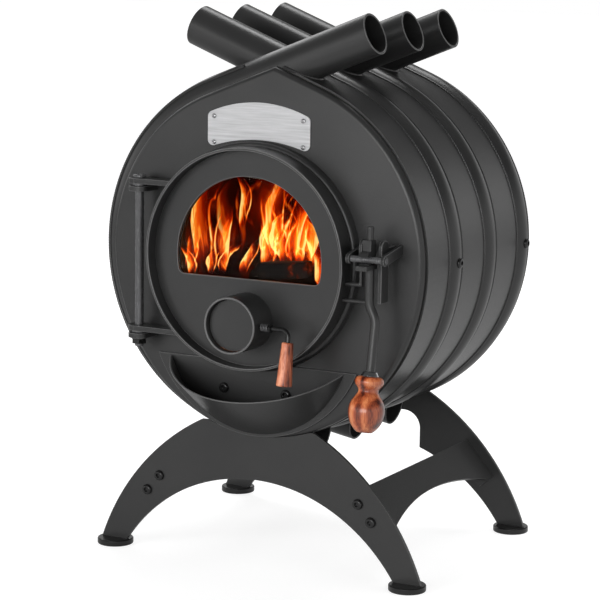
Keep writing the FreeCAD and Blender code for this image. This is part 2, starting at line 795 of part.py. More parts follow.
def nameplate():
    back = face_y - weld_gap
    low = drum_z + collar_r + name_gap
    top = low + name_height
    left, right = -name_half, name_half
    shoulder = top - name_drop
    foot = low - name_arch
    edges = [arc(V(left, 0, shoulder), V(0, 0, top), V(right, 0, shoulder))]
    edges += [line(V(right, 0, shoulder), V(right, 0, foot))]
    edges += [arc(V(right, 0, foot), V(0, 0, low), V(left, 0, foot))]
    edges += [line(V(left, 0, foot), V(left, 0, shoulder))]
    plate = slab(edges, back - name_t, name_t)
    corners = [e for e in plate.Edges if e.BoundBox.XLength < 1e-3 and e.BoundBox.ZLength < 1e-3]
    plate = plate.makeFillet(name_corner, corners)
    levels = (shoulder - rivet_top, foot + rivet_low)
    spots = [(x, z) for x in (left + rivet_in, right - rivet_in) for z in levels]
    front = back - name_t
    save("nameplate", plate.cut([drill(rivet_r + weld_gap, x, z, front, name_t) for x, z in spots]))
    save("nameplate_rivets", *[button(rivet_r, x, z, front - weld_gap, name_t) for x, z in spots])


def arch_points():
    tip = polar(sole_r + arch_lap, sole_low_angle + arch_tip)
    foot = V(foot_x + leg_w / 2, 0, foot_t + weld_gap)
    along = (foot - tip).normalize()
    out = V(-along.z, 0, along.x)
    return tip, foot, (tip + foot) * 0.5, along, out


def arch(notched):
    tip, foot, chord, along, out = arch_points()
    toe = V(foot_x - leg_w / 2, 0, foot.z)
    bulge = chord + out * arch_bulge
    other = [V(-p.x, 0, p.z) for p in (tip, foot, bulge, toe)]
    edges = [arc(tip, bulge, foot), line(foot, toe), arc(toe, V(0, 0, arch_rise), other[3])]
    edges += [line(other[3], other[1]), arc(other[1], other[2], other[0]), line(other[0], tip)]
    y = face_y + arch_set
    plate = slab(edges, y, arch_t)
    plate = plate.cut(slab(pan_outline(weld_gap), y - cut_past, arch_t + 2 * cut_past))
    if notched:
        gap = block(-notch_half, notch_half, y, y + arch_t, 0, notch_top)
        corners = [e for e in gap.Edges if e.BoundBox.ZMin > notch_top - 1e-3 and e.BoundBox.XLength < 1e-3]
        plate = plate.cut(gap.makeFillet(notch_r, corners))
    return plate.cut([drill(bolt_r + weld_gap, x, z, y, arch_t) for x, z in stay_bolts()])


def stay_bolts():
    tip, foot, chord, along, out = arch_points()
    base = chord + out * (arch_bulge - stay_inset - stay_t / 2 - stay_flange / 2)
    spots = [base + along * (stay_drop - stay_bolt_rise + stay_bolt * s) for s in (-1, 1)]
    return [(side * p.x, p.z) for p in spots for side in (-1, 1)]


def stretcher():
    """Inclined plate between the arches, with an end flange for each and an arched lower edge."""
    tip, foot, chord, along, out = arch_points()
    near = face_y + arch_set + arch_t + weld_gap
    far = 2 * mid_y - near
    half_w, half_t = stay_w / 2, stay_t / 2
    plate = block(-half_t, half_t, near, far, -half_w, half_w)
    span = (far - near) / 2 - stay_flange
    radius = (span ** 2 + stay_arch ** 2) / (2 * stay_arch)
    plate = plate.cut(rod_x(radius, -stay_t, stay_t, mid_y, stay_arch - half_w - radius))
    for start in (near, far - stay_t):
        plate = plate.fuse(block(-half_t - stay_flange, half_t, start, start + stay_t, -half_w, half_w))
    for s in (-1, 1):
        x = -half_t - stay_flange / 2
        z = stay_bolt_rise + s * stay_bolt
        plate = plate.cut(drill(bolt_r + weld_gap, x, z, near, far - near))
    plate = plate.removeSplitter()
    plate.rotate(ORIGIN, BACK, -math.degrees(math.atan2(out.z, out.x)))
    plate.translate(chord + out * (arch_bulge - stay_inset) + along * stay_drop)
    return plate


def stand():
    save("front_arch", arch(False))
    save("rear_arch", turned_back(arch(True)))
    stay = stretcher()
    save("stretcher_right", stay)
    save("stretcher_left", mirrored(stay))
    y = face_y + arch_set - weld_gap
    grip = arch_t + stay_t + 2 * weld_gap
    bolts = []
    for x, z in stay_bolts():
        bolt = button(bolt_r, x, z, y, grip + 2 * bolt_r)
        nut = hexagon(bolt_r * nut_share, x, z, y + grip + weld_gap, bolt_r * nut_rise)
        bolts.append(bolt.fuse(nut).removeSplitter())
    save("stand_bolts_front", *bolts)
    save("stand_bolts_rear", *[turned_back(bolt) for bolt in bolts])
    front_y = face_y + arch_set + arch_t / 2
    for end, y in (("front", front_y), ("rear", 2 * mid_y - front_y)):
        for hand, x in (("left", -foot_x), ("right", foot_x)):
            foot = rod_z(foot_r, x, y, 0, foot_t)
            rims = [e for e in foot.Edges if e.BoundBox.ZLength < 1e-3]
            save("foot_%s_%s" % (end, hand), foot.makeChamfer(foot_edge, rims))


os.makedirs("parts", exist_ok=True)
drum()
door()
hinge()
damper()
latch()
scoop()
nameplate()
stand()
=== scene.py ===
import json
import math
import random

import bmesh
import bpy
from mathutils import Matrix, Vector
from mathutils import noise as mathNoise

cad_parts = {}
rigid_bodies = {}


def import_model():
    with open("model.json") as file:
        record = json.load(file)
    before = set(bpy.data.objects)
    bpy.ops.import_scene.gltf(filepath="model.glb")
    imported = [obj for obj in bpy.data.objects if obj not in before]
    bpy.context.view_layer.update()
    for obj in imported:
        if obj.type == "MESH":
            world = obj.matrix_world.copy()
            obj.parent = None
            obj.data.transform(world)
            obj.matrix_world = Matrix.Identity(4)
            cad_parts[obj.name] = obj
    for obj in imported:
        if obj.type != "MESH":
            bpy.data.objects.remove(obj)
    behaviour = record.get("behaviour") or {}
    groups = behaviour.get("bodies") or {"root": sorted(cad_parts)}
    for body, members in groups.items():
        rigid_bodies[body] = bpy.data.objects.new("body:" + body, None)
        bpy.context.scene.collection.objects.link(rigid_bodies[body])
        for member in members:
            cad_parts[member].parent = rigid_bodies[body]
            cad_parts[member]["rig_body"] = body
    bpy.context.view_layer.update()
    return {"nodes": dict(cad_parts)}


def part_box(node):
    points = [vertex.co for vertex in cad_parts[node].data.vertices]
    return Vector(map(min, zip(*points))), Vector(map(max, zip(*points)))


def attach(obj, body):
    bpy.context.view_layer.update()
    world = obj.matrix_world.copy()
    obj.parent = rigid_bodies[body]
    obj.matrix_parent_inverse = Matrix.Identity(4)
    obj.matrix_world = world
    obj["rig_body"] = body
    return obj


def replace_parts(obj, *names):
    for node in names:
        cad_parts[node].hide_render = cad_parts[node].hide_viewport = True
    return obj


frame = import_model()
nodes = frame["nodes"]
scene = bpy.context.scene


def middle(node):
    low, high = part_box(node)
    return (low + high) / 2


drumZ = middle("door_ring").z
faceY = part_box("front_pan")[0].y
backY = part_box("rear_pan")[1].y
tubeNumbers = range(1, 7)
tubeY = [middle("air_tube_%d" % k).y for k in tubeNumbers]


# shader building blocks

def startFinish(name, rough=0.5, metal=0.0):
    finish = bpy.data.materials.new(name)
    finish.use_nodes = True
    tree = finish.node_tree
    shader = tree.nodes["Principled BSDF"]
    shader.inputs["Roughness"].default_value = rough
    shader.inputs["Metallic"].default_value = metal
    return finish, tree, shader


def place(tree, scale=(1, 1, 1), turn=(0, 0, 0)):
    coords = tree.nodes.new("ShaderNodeTexCoord")
    mapping = tree.nodes.new("ShaderNodeMapping")
    mapping.inputs["Scale"].default_value = scale
    mapping.inputs["Rotation"].default_value = [math.radians(a) for a in turn]
    tree.links.new(coords.outputs["Object"], mapping.inputs["Vector"])
    return mapping.outputs["Vector"]


def noise(tree, vector, scale, detail=3.0, rough=0.5, warp=0.0):
    node = tree.nodes.new("ShaderNodeTexNoise")
    node.inputs["Scale"].default_value = scale
    node.inputs["Detail"].default_value = detail
    node.inputs["Roughness"].default_value = rough
    node.inputs["Distortion"].default_value = warp
    tree.links.new(vector, node.inputs["Vector"])
    return node.outputs["Fac"]


def waves(tree, vector, band, scale, warp):
    node = tree.nodes.new("ShaderNodeTexWave")
    node.bands_direction = band
    node.inputs["Scale"].default_value = scale
    node.inputs["Distortion"].default_value = warp
    tree.links.new(vector, node.inputs["Vector"])
    return node


def ramp(tree, source, stops):
    node = tree.nodes.new("ShaderNodeValToRGB")
    band = node.color_ramp
    while len(band.elements) < len(stops):
        band.elements.new(0.5)
    for element, (at, colour) in zip(band.elements, stops):
        element.position = at
        element.color = (*colour, 1.0)
    tree.links.new(source, node.inputs["Fac"])
    return node.outputs["Color"]


def twoTone(tree, source, band, tones):
    return ramp(tree, source, list(zip(band, tones)))


def spread(tree, source, low, high):
    node = tree.nodes.new("ShaderNodeMapRange")
    node.inputs["To Min"].default_value = low
    node.inputs["To Max"].default_value = high
    tree.links.new(source, node.inputs["Value"])
    return node.outputs["Result"]


def between(tree, source, near, far):
    node = tree.nodes.new("ShaderNodeMapRange")
    node.interpolation_type = "SMOOTHSTEP"
    for key, value in zip(("From Min", "From Max", "To Min", "To Max"), (*near, *far)):
        node.inputs[key].default_value = value
    tree.links.new(source, node.inputs["Value"])
    return node.outputs["Result"]


def combine(tree, how, a, b):
    node = tree.nodes.new("ShaderNodeMath")
    node.operation = how
    for socket, value in zip(node.inputs, (a, b)):
        if isinstance(value, (int, float)):
            socket.default_value = value
        else:
            tree.links.new(value, socket)
    return node.outputs[0]


def times(tree, a, b):
    return combine(tree, "MULTIPLY", a, b)


def emboss(tree, shader, height, depth):
    node = tree.nodes.new("ShaderNodeBump")
    node.inputs["Distance"].default_value = depth
    tree.links.new(height, node.inputs["Height"])
    tree.links.new(node.outputs["Normal"], shader.inputs["Normal"])


# camera, lights and floor

cameraSet = {
    "place": Vector((1.461, faceY - 2.621, 0.866)),
    "yaw": 28.03,
    "pitch": 9.34,
    "roll": 0.84,
    "lens": 135.2,
    "sensor": 36.0,
    "clip": 60.0,
}


def makeCamera():
    yaw, pitch, roll = (math.radians(cameraSet[key]) for key in ("yaw", "pitch", "roll"))
    ahead = math.cos(pitch)
    forward = Vector((-math.sin(yaw) * ahead, math.cos(yaw) * ahead, -math.sin(pitch)))
    level = Vector((math.cos(yaw), math.sin(yaw), 0))
    rise = level.cross(forward)
    right = level * math.cos(roll) + rise * math.sin(roll)
    up = rise * math.cos(roll) - level * math.sin(roll)
    data = bpy.data.cameras.new("photoCamera")
    data.lens = cameraSet["lens"]
    data.sensor_width = cameraSet["sensor"]
    data.clip_end = cameraSet["clip"]
    camera = bpy.data.objects.new("photoCamera", data)
    scene.collection.objects.link(camera)
    turn = Matrix((right, up, -forward)).transposed().to_4x4()
    camera.matrix_world = Matrix.Translation(cameraSet["place"]) @ turn
    scene.camera = camera


# a mirrored lamp shows in the paint's gloss, the others only light it
lampSet = {
    "keyBox": {"place": (-1.6, -3.1, 0.95), "size": (2.0, 1.6), "watts": 108.0, "mirrored": False},
    "sideBox": {"place": (2.7, -0.8, 1.3), "size": (1.6, 2.0), "watts": 28.0, "mirrored": False},
    "rearBox": {"place": (-1.6, 2.8, 1.6), "size": (2.0, 1.6), "watts": 28.0, "mirrored": False},
    "frontBox": {"place": (0.5, -3.3, 0.9), "size": (2.2, 1.0), "watts": 31.0, "mirrored": True},
    "topBox": {"place": (0.35, 0.75, 2.5), "size": (2.0, 1.2), "watts": 34.0, "mirrored": False},
    "leftBox": {"place": (-1.8, 1.1, 1.8), "size": (1.6, 0.9), "watts": 10.0, "mirrored": True},
    "backBox": {"place": (-0.35, 1.4, 2.7), "size": (1.3, 0.9), "watts": 18.0, "mirrored": True},
}


def makeLamps():
    aim = Vector((0, 0, drumZ))
    for name, lamp in lampSet.items():
        data = bpy.data.lights.new(name, "AREA")
        data.shape = "RECTANGLE"
        data.size, data.size_y = lamp["size"]
        data.energy = lamp["watts"]
        light = bpy.data.objects.new(name, data)
        scene.collection.objects.link(light)
        light.visible_glossy = lamp["mirrored"]
        light.location = lamp["place"]
        light.rotation_mode = "QUATERNION"
        light.rotation_quaternion = (aim - light.location).to_track_quat("-Z", "Y")


stageSet = {
    "ambient": 0.1,
    "horizon": 0.85,
    "overhead": 0.08,
    "horizonHeight": (0.16, 0.40),
    "floorSize": 40.0,
    "floorNear": 0.80,
    "floorFar": (0.45, 1.5),
    "floorMirror": (0.14, 0.5),
    "floorAcross": (-0.9, 0.9),
    "floorColour": 0.3,
    "floorRough": 0.9,
}


def seenDirectly(tree):
    path = tree.nodes.new("ShaderNodeLightPath")
    rays = (path.outputs["Is Glossy Ray"], path.outputs["Is Transmission Ray"])
    return path.outputs["Is Camera Ray"], combine(tree, "MAXIMUM", *rays)


def partsOf(tree, vector):
    node = tree.nodes.new("ShaderNodeSeparateXYZ")
    tree.links.new(vector, node.inputs[0])
    return node.outputs


def makeWorld():
    world = bpy.data.worlds.new("studio")
    scene.world = world
    world.use_nodes = True
    tree = world.node_tree
    base = tree.nodes["Background"]
    base.inputs["Color"].default_value = (1, 1, 1, 1)
    camera, mirrored = seenDirectly(tree)
    coords = tree.nodes.new("ShaderNodeTexCoord")
    rise = partsOf(tree, coords.outputs["Generated"])["Z"]
    s = stageSet
    sky = between(tree, rise, s["horizonHeight"], (s["horizon"], s["overhead"]))
    toMirror = tree.nodes.new("ShaderNodeMix")
    toMirror.inputs["A"].default_value = s["ambient"]
    tree.links.new(mirrored, toMirror.inputs["Factor"])
    tree.links.new(sky, toMirror.inputs["B"])
    toCamera = tree.nodes.new("ShaderNodeMix")
    toCamera.inputs["B"].default_value = 1.0
    tree.links.new(camera, toCamera.inputs["Factor"])
    tree.links.new(toMirror.outputs["Result"], toCamera.inputs["A"])
    tree.links.new(toCamera.outputs["Result"], base.inputs["Strength"])


def floorFinish():
    s = stageSet
    finish, tree, shader = startFinish("paperFloor", s["floorRough"])
    tone = s["floorColour"]
    shader.inputs["Base Color"].default_value = (tone, tone, tone, 1)
    shader.inputs["Emission Color"].default_value = (1, 1, 1, 1)
    camera, mirrored = seenDirectly(tree)
    here = place(tree)
    away = tree.nodes.new("ShaderNodeVectorMath")
    away.operation = "LENGTH"
    tree.links.new(here, away.inputs[0])
    far = between(tree, away.outputs["Value"], s["floorFar"], (s["floorNear"], 1.0))
    pale = between(tree, partsOf(tree, here)["X"], s["floorAcross"], s["floorMirror"])
    seen = times(tree, camera, far)
    glossed = times(tree, mirrored, pale)
    tree.links.new(combine(tree, "ADD", seen, glossed), shader.inputs["Emission Strength"])
    return finish


def makeFloor():
    bm = bmesh.new()
    bmesh.ops.create_grid(bm, x_segments=1, y_segments=1, size=stageSet["floorSize"] / 2)
    mesh = bpy.data.meshes.new("studioFloor")
    bm.to_mesh(mesh)
    bm.free()
    floor = bpy.data.objects.new("studioFloor", mesh)
    scene.collection.objects.link(floor)
    mesh.materials.append(floorFinish())


makeCamera()
makeLamps()
makeWorld()
makeFloor()
scene.view_settings.view_transform = "Standard"
print("stage: camera, lamps and floor")


# finishes

paintSet = {
    "dark": (0.0200, 0.0200, 0.0202),
    "light": (0.0262, 0.0261, 0.0259),
    "cloud": 6.0,
    "band": (0.3, 0.7),
    "rough": (0.27, 0.35),
    "gloss": 0.5,
    "grain": 1500.0,
    "grainDepth": 0.00008,
    "peel": 260.0,
    "sooted": 0.45,
    # how much lighter the bevel paint is: a painted highlight
    "edgeHighlightLift": 4.5,
}


def paintFinish(name, lift=1.0):
    finish, tree, shader = startFinish(name)
    here = place(tree)
    cloud = noise(tree, here, paintSet["cloud"], detail=5.0, rough=0.6)
    tones = [[c * lift for c in paintSet[key]] for key in ("dark", "light")]
    tree.links.new(twoTone(tree, cloud, paintSet["band"], tones), shader.inputs["Base Color"])
    peel = noise(tree, here, paintSet["peel"], detail=2.0)
    tree.links.new(spread(tree, peel, *paintSet["rough"]), shader.inputs["Roughness"])
    grain = noise(tree, here, paintSet["grain"], detail=2.0)
    emboss(tree, shader, combine(tree, "ADD", grain, peel), paintSet["grainDepth"])
    shader.inputs["Specular IOR Level"].default_value = paintSet["gloss"]
    return finish


steelSet = {
    "bright": (0.62, 0.62, 0.63),
    "plate": (0.44, 0.44, 0.448),
    "dull": (0.11, 0.11, 0.113),
    "scratch": 420.0,
    "scratchDepth": 0.00005,
    "band": (0.3, 0.7),
    "shades": (0.78, 1.12),
    "wear": (0.8, 1.25),
}


def steelFinish(name, tone, rough, along=(1, 1, 1), metal=1.0):
    finish, tree, shader = startFinish(name, rough, metal)
    streak = noise(tree, place(tree, along), steelSet["scratch"], detail=4.0, rough=0.6)
    tones = [[c * share for c in tone] for share in steelSet["shades"]]
    tree.links.new(twoTone(tree, streak, steelSet["band"], tones), shader.inputs["Base Color"])
    wear = [rough * share for share in steelSet["wear"]]
    tree.links.new(spread(tree, streak, *wear), shader.inputs["Roughness"])
    emboss(tree, shader, streak, steelSet["scratchDepth"])
    return finish


blackSet = {
    "tone": 0.008,
    "rough": 0.24,
    "grain": 900.0,
    "band": (0.35, 0.65),
    "shades": (0.7, 1.3),
    "wear": (0.8, 1.2),
}


def blackFinish(name):
    b = blackSet
    finish, tree, shader = startFinish(name, b["rough"])
    fine = noise(tree, place(tree), b["grain"])
    tones = [(b["tone"] * share,) * 3 for share in b["shades"]]
    tree.links.new(twoTone(tree, fine, b["band"], tones), shader.inputs["Base Color"])
    wear = [b["rough"] * share for share in b["wear"]]
    tree.links.new(spread(tree, fine, *wear), shader.inputs["Roughness"])
    return finish


woodSet = {
    "knob": [
        (0.36, (0.05, 0.006, 0.002)),
        (0.45, (0.22, 0.037, 0.010)),
        (0.55, (0.42, 0.095, 0.029)),
        (0.66, (0.62, 0.21, 0.08)),
    ],
    "grip": [
        (0.36, (0.07, 0.012, 0.005)),
        (0.45, (0.30, 0.072, 0.030)),
        (0.55, (0.50, 0.155, 0.075)),
        (0.66, (0.70, 0.30, 0.175)),
    ],
    "rings": {"scale": 16.0, "drawn": (1, 1, 0.3), "share": 0.2, "warp": 5.0, "detail": 4.0,
              "detailScale": 2.2},
    "figure": {"scale": 95.0, "drawn": (1, 1, 0.12), "share": 0.5},
    "pores": {"scale": 620.0, "drawn": (1, 1, 0.07), "share": 0.3, "depth": 0.00008},
    "wear": (0.5, 0.26),
    "coatRough": 0.1,
}


def woodFinish(name, stops, turn, coat):
    finish, tree, shader = startFinish(name)
    rings, figure, pores = (woodSet[key] for key in ("rings", "figure", "pores"))
    wave = waves(tree, place(tree, rings["drawn"], turn), "X", rings["scale"], rings["warp"])
    wave.inputs["Detail"].default_value = rings["detail"]
    wave.inputs["Detail Scale"].default_value = rings["detailScale"]
    streaks = noise(tree, place(tree, figure["drawn"], turn), figure["scale"], detail=6.0, rough=0.6)
    fine = noise(tree, place(tree, pores["drawn"], turn), pores["scale"], rough=0.55)
    layers = ((wave.outputs["Fac"], rings), (streaks, figure), (fine, pores))
    weighed = [times(tree, source, layer["share"]) for source, layer in layers]
    grain = combine(tree, "ADD", weighed[0], weighed[1])
    mixed = combine(tree, "ADD", grain, weighed[2])
    tree.links.new(ramp(tree, mixed, stops), shader.inputs["Base Color"])
    tree.links.new(spread(tree, fine, *woodSet["wear"]), shader.inputs["Roughness"])
    shader.inputs["Coat Weight"].default_value = coat
    shader.inputs["Coat Roughness"].default_value = woodSet["coatRough"]
    emboss(tree, shader, fine, pores["depth"])
    return finish


glassSet = {
    "rough": 0.02,
    "ior": 1.1,
    "haze": 26.0,
    "band": (0.3, 0.7),
    "tones": ((0.96, 0.94, 0.92), (1, 1, 1)),
}


def glassFinish():
    g = glassSet
    finish, tree, shader = startFinish("ceramicGlass", g["rough"])
    shader.inputs["Transmission Weight"].default_value = 1.0
    shader.inputs["IOR"].default_value = g["ior"]
    haze = noise(tree, place(tree), g["haze"], detail=4.0)
    tree.links.new(twoTone(tree, haze, g["band"], g["tones"]), shader.inputs["Base Color"])
    return finish


fibreSet = {
    "rough": 0.85,
    "yarn": {"scale": 1100.0, "drawn": (1, 0.35, 1), "band": (0.3, 0.7), "depth": 0.0003,
             "tones": ((0.07, 0.07, 0.068), (0.22, 0.215, 0.20))},
    "weave": {"scale": 260.0, "warp": 0.6, "band": (0.1, 0.7), "depth": 0.0004,
              "tones": ((0.06, 0.06, 0.058), (0.24, 0.235, 0.22))},
}


def ropeFinish():
    yarn = fibreSet["yarn"]
    finish, tree, shader = startFinish("glassFibre", fibreSet["rough"])
    fine = noise(tree, place(tree, yarn["drawn"]), yarn["scale"], detail=4.0, rough=0.7)
    tree.links.new(twoTone(tree, fine, yarn["band"], yarn["tones"]), shader.inputs["Base Color"])
    emboss(tree, shader, fine, yarn["depth"])
    return finish


def tapeFinish():
    weave = fibreSet["weave"]
    finish, tree, shader = startFinish("wovenTape", fibreSet["rough"])
    warp, weft = (waves(tree, place(tree), band, weave["scale"], weave["warp"]) for band in "XZ")
    crossed = times(tree, warp.outputs["Fac"], weft.outputs["Fac"])
    tree.links.new(twoTone(tree, crossed, weave["band"], weave["tones"]), shader.inputs["Base Color"])
    emboss(tree, shader, crossed, weave["depth"])
    return finish


paint = paintFinish("stovePaint")
sootPaint = paintFinish("sootedSteel", paintSet["sooted"])
brightSteel = steelFinish("polishedSteel", steelSet["bright"], rough=0.22)
platedSteel = steelFinish("brushedPlate", steelSet["plate"], rough=0.42, along=(0.04, 1, 1), metal=0.3)
rodSteel = steelFinish("oiledRod", steelSet["dull"], rough=0.26, along=(1, 1, 0.1), metal=0.4)
# lighter paint for bevels and the spigot rim, a painted highlight
highlightEdgePaint = paintFinish("paintedHighlightEdge", paintSet["edgeHighlightLift"])
blackBolt = blackFinish("blackOxide")
knobWood = woodFinish("turnedWood", woodSet["knob"], turn=(4, 8, 20), coat=0.8)
gripWood = woodFinish("gripWood", woodSet["grip"], turn=(9, 3, 40), coat=0.15)
windowGlass = glassFinish()
fibreRope = ropeFinish()
fibreTape = tapeFinish()
print("finishes:", len(bpy.data.materials))


# pieces

pieceSet = {"weldDistance": 2e-6, "flatAngle": 0.2, "edgeSteps": 2, "edgeAngle": 32.0}


def newPiece(name, bm, body, finish, sharp=35.0):
    mesh = bpy.data.meshes.new(name)
    bm.to_mesh(mesh)
    bm.free()
    mesh.materials.append(finish)
    mesh.shade_smooth()
    mesh.set_sharp_from_angle(angle=math.radians(sharp))
    piece = bpy.data.objects.new(name, mesh)
    scene.collection.objects.link(piece)
    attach(piece, body)
    return piece


# painted pieces get a lighter edge on their bevels, a painted highlight
def roundEdges(piece, width, angle=pieceSet["edgeAngle"]):
    bevel = piece.modifiers.new("edgeRound", "BEVEL")
    bevel.width = width
    bevel.segments = pieceSet["edgeSteps"]
    bevel.limit_method = "ANGLE"
    bevel.angle_limit = math.radians(angle)
    bevel.harden_normals = True
    # the bevel takes the lighter paint, a painted highlight
    if piece.data.materials[0] == paint:
        piece.data.materials.append(highlightEdgePaint)
        bevel.material = 1


def addTo(bm, part):
    mesh = bpy.data.meshes.new("part")
    part.to_mesh(mesh)
    part.free()
    bm.from_mesh(mesh)
    bpy.data.meshes.remove(mesh)


def join(bm, distance=1e-6):
    bmesh.ops.remove_doubles(bm, verts=bm.verts, dist=distance)


def faceOut(bm, mirror=False):
    if mirror:
        bmesh.ops.scale(bm, vec=(-1, 1, 1), verts=bm.verts)
    bmesh.ops.recalc_face_normals(bm, faces=bm.faces)


def onlyEdges(geom):
    return [g for g in geom if isinstance(g, bmesh.types.BMEdge)]


def extend(bm, edges, move):
    made = bmesh.ops.extrude_edge_only(bm, edges=edges)["geom"]
    bmesh.ops.transform(bm, matrix=move, verts=[g for g in made if isinstance(g, bmesh.types.BMVert)])
    return onlyEdges(made)


def ringAcross(bm, spot, along, radius, sides):
    turn = Matrix.Translation(spot) @ along.to_track_quat("Z", "Y").to_matrix().to_4x4()
    bmesh.ops.create_circle(bm, segments=sides, radius=radius, matrix=turn)


def mergedCopy(node):
    bm = bmesh.new()
    bm.from_mesh(nodes[node].data)
    join(bm, pieceSet["weldDistance"])
    flat = math.radians(pieceSet["flatAngle"])
    bmesh.ops.dissolve_limit(bm, angle_limit=flat, verts=bm.verts, edges=bm.edges)
    return bm


def dress(node, finish, width):
    piece = newPiece(node + "_faired", mergedCopy(node), nodes[node]["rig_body"], finish)
    if width:
        roundEdges(piece, width)
    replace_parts(piece, node)


# finish, slot and width of the rounded edges
dressSet = {
    "front_pan": (paint, "stove_paint", 0.0012),
    "rear_pan": (paint, "stove_paint", 0.0012),
    "door_collar": (paint, "stove_paint", 0.0006),
    "flue_spigot": (paint, "stove_paint", 0.0006),
    "hearth_plate": (sootPaint, "stove_paint", 0.0006),
    "smoke_baffle": (sootPaint, "stove_paint", 0.0006),
    "nameplate": (platedSteel, "plate", 0.0005),
    "nameplate_rivets": (brightSteel, "bright_steel", 0.0),
    "ember_scoop": (paint, "stove_paint", 0.0013),
    "scoop_back": (paint, "stove_paint", 0.0006),
    "scoop_bolts": (blackBolt, "black_bolts", 0.0003),
    "crest_bolts": (blackBolt, "black_bolts", 0.0003),
    "stand_bolts_front": (blackBolt, "black_bolts", 0.0003),
    "stand_bolts_rear": (blackBolt, "black_bolts", 0.0003),
    "hinge_ears": (paint, "stove_paint", 0.0011),
    "hinge_washers": (rodSteel, "rod_steel", 0.0003),
    "hinge_rod": (rodSteel, "rod_steel", 0.0004),
    "hinge_nut": (blackBolt, "black_bolts", 0.0005),
    "latch_arms": (paint, "stove_paint", 0.0012),
    "latch_pin": (rodSteel, "rod_steel", 0.0006),
    "latch_bracket": (paint, "stove_paint", 0.0008),
    "front_arch": (paint, "stove_paint", 0.0009),
    "rear_arch": (paint, "stove_paint", 0.0009),
    "stretcher_left": (paint, "stove_paint", 0.0009),
    "stretcher_right": (paint, "stove_paint", 0.0009),
    "door_ring": (paint, "stove_paint", 0.0013),
    "door_panel": (paint, "stove_paint", 0.0010),
    "glass_seal": (fibreTape, "rope", 0.0004),
    "window_glass": (windowGlass, "glass", 0.0004),
    "glass_retainer": (sootPaint, "stove_paint", 0.0006),
    "retainer_screws": (blackBolt, "black_bolts", 0.0),
    "door_ears": (paint, "stove_paint", 0.0011),
    "door_catches": (paint, "stove_paint", 0.0005),
    "air_spigot": (paint, "stove_paint", 0.0012),
    "damper_flap": (paint, "stove_paint", 0.0004),
    "damper_shaft": (blackBolt, "rod_steel", 0.0003),
    "damper_grip": (gripWood, "grip_wood", 0.0004),
    "damper_washer": (blackBolt, "rod_steel", 0.0003),
    "damper_spring": (rodSteel, "bright_steel", 0.0),
    "latch_hook": (paint, "stove_paint", 0.0008),
    "latch_bar": (paint, "stove_paint", 0.0005),
    "lever_ferrule": (brightSteel, "bright_steel", 0.0004),
    "lever_knob": (knobWood, "turned_wood", 0.0),
}
for end in ("front", "rear"):
    for hand in ("left", "right"):
        dressSet["foot_%s_%s" % (end, hand)] = (blackBolt, "stove_paint", 0.0005)
for k in tubeNumbers:
    dressSet["shell_strip_%d" % k] = (paint, "stove_paint", 0.0005)
for node, (finish, slot, width) in dressSet.items():
    dress(node, finish, width)
print("faired nodes:", len(dressSet))


# rolled rim of the air spigot, in the lighter edge paint: a painted highlight

rimSet = {"wall": 0.003, "bead": 0.00145, "sides": 12, "steps": 120}


def spigotRim():
    r = rimSet
    low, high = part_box("air_spigot")
    hub = Vector((0, low.y, middle("air_spigot").z))
    spot = Matrix.Translation(hub + Vector((high.x - r["wall"] / 2, 0, 0)))
    bm = bmesh.new()
    bmesh.ops.create_circle(bm, segments=r["sides"], radius=r["bead"], matrix=spot)
    bmesh.ops.spin(bm, geom=bm.edges[:], cent=hub, axis=(0, 1, 0), angle=math.tau,
                   steps=r["steps"], use_merge=True)
    faceOut(bm)
    newPiece("spigot_rim", bm, "door", highlightEdgePaint, sharp=80.0)


spigotRim()
print("rim: bead of", rimSet["steps"], "steps")


# six air tubes, the even ones mirrored

tubeSet = {
    "bend": 0.226,
    "radius": 0.0285,
    "wall": 0.003,
    "exitAngle": 21.4,
    "exitReach": 0.151,
    "tailAngle": 10.0,
    "tailReach": 0.081,
    "sides": 56,
    "steps": 72,
    "rim": 0.0007,
    "sharp": 60.0,
    "stripOver": 0.0225,  # how far the strips lie outside the bend's axis
}


def airTube(k):
    t = tubeSet
    first, last = math.radians(270 - t["tailAngle"]), math.radians(90 + t["exitAngle"])
    hub = Vector((0, tubeY[k - 1], drumZ))
    ends = []
    for angle, reach in ((first, t["tailReach"]), (last, t["exitReach"])):
        spot = hub + t["bend"] * Vector((math.cos(angle), 0, math.sin(angle)))
        along = Vector((math.sin(angle), 0, -math.cos(angle)))
        ends.append((spot, along, abs((reach - spot.x) / along.x)))
    (tail, start, tailLength), (_, end, exitLength) = ends
    bm = bmesh.new()
    ringAcross(bm, tail - start * tailLength, start, t["radius"], t["sides"])
    edges = extend(bm, bm.edges[:], Matrix.Translation(start * tailLength))
    spun = bmesh.ops.spin(bm, geom=edges, cent=hub, axis=(0, 1, 0), angle=first - last,
                          steps=t["steps"])
    extend(bm, onlyEdges(spun["geom_last"]), Matrix.Translation(end * exitLength))
    join(bm)
    faceOut(bm, mirror=k % 2 == 0)
    piece = newPiece("air_tube_%d_smooth" % k, bm, "stove", paint, t["sharp"])
    wall = piece.modifiers.new("tubeWall", "SOLIDIFY")
    wall.thickness = t["wall"]
    wall.offset = -1.0
    roundEdges(piece, t["rim"], t["sharp"])
    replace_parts(piece, "air_tube_%d" % k)


for k in tubeNumbers:
    airTube(k)
print("tubes:", len(tubeY))


# rope seal of the door, three strands laid round each other

ropeSet = {
    "inset": 0.0036,
    "strands": 3,
    "strand": 0.0017,
    "lay": 0.0019,
    "turns": 52,
    "steps": 10,
    "sides": 8,
    "join": 3e-5,
}


